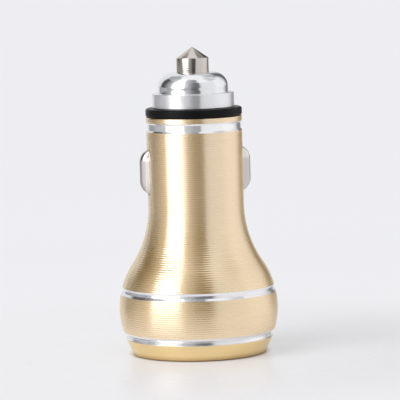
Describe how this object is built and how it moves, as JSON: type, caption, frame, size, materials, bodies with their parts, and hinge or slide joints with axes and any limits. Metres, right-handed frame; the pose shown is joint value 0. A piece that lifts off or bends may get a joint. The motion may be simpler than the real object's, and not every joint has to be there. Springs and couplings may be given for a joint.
{
  "type": "car usb charger plug",
  "caption": "Turned car charger plug with a round bulb and straight neck, sprung nose and side contacts, and USB sockets in the face of its foot.",
  "frame": {"origin": "centre of the foot's flat rim, on the surface that the plug stands on", "axes": "+Z along the turning axis from the socket face to the nose; +X through the right side contact"},
  "size_m": [0.0344, 0.0344, 0.0664],
  "materials": {
    "gold_body": "gold anodised, finely turned, with bright cut grooves",
    "black_plastic": "satin moulded",
    "polished_cap": "polished",
    "nickel_contact": "nickel plated",
    "spring_steel": "bright drawn",
    "brass_terminal": "stamped",
    "board_laminate": "solder mask",
    "socket_steel": "nickel plated sheet",
    "socket_plastic": "moulded",
    "gold_plating": "plated",
    "ferrite": "sintered",
    "copper_wire": "enamelled wire",
    "capacitor_can": "sleeved can",
    "component_black": "moulded",
    "fuse_body": "moulded",
    "component_tan": "fired"
  },
  "bodies": {
    "base": {"housing": "gold_body", "face_plate": "black_plastic", "insulating_bush": "black_plastic", "nose_cap": "polished_cap", "tip_spring": "spring_steel", "positive_terminal": "brass_terminal", "ground_spring_right": "spring_steel", "ground_spring_left": "spring_steel", "circuit_board": "board_laminate", "usb_shell_front": "socket_steel", "usb_shell_rear": "socket_steel", "usb_tongue_front": "socket_plastic", "usb_tongue_rear": "socket_plastic", "usb_contacts_front": "gold_plating", "usb_contacts_rear": "gold_plating", "inductor_core": "ferrite", "inductor_winding": "copper_wire", "input_capacitor": "capacitor_can", "output_capacitor": "capacitor_can", "converter_chip": "component_black", "rectifier_diode": "component_black", "board_fuse": "fuse_body", "chip_components": "component_tan"},
    "nose_contact": {"contact_tip": "nickel_contact"},
    "right_contact": {"ground_contact_right": "nickel_contact"},
    "left_contact": {"ground_contact_left": "nickel_contact"}
  },
  "joints": [
    {"name": "tip_press", "type": "slide", "parent": "base", "child": "nose_contact", "axis": [0, 0, -1], "range_m": [0, 0.0025], "stiffness_N_per_m": 800, "springref_m": -0.004, "deforming": ["tip_spring"]},
    {"name": "right_contact_press", "type": "slide", "parent": "base", "child": "right_contact", "axis": [-1, 0, 0], "range_m": [0, 0.0014], "stiffness_N_per_m": 200, "springref_m": -0.004, "deforming": ["ground_spring_right"]},
    {"name": "left_contact_press", "type": "slide", "parent": "base", "child": "left_contact", "axis": [1, 0, 0], "range_m": [0, 0.0014], "stiffness_N_per_m": 200, "springref_m": -0.004, "deforming": ["ground_spring_left"]}
  ]
}
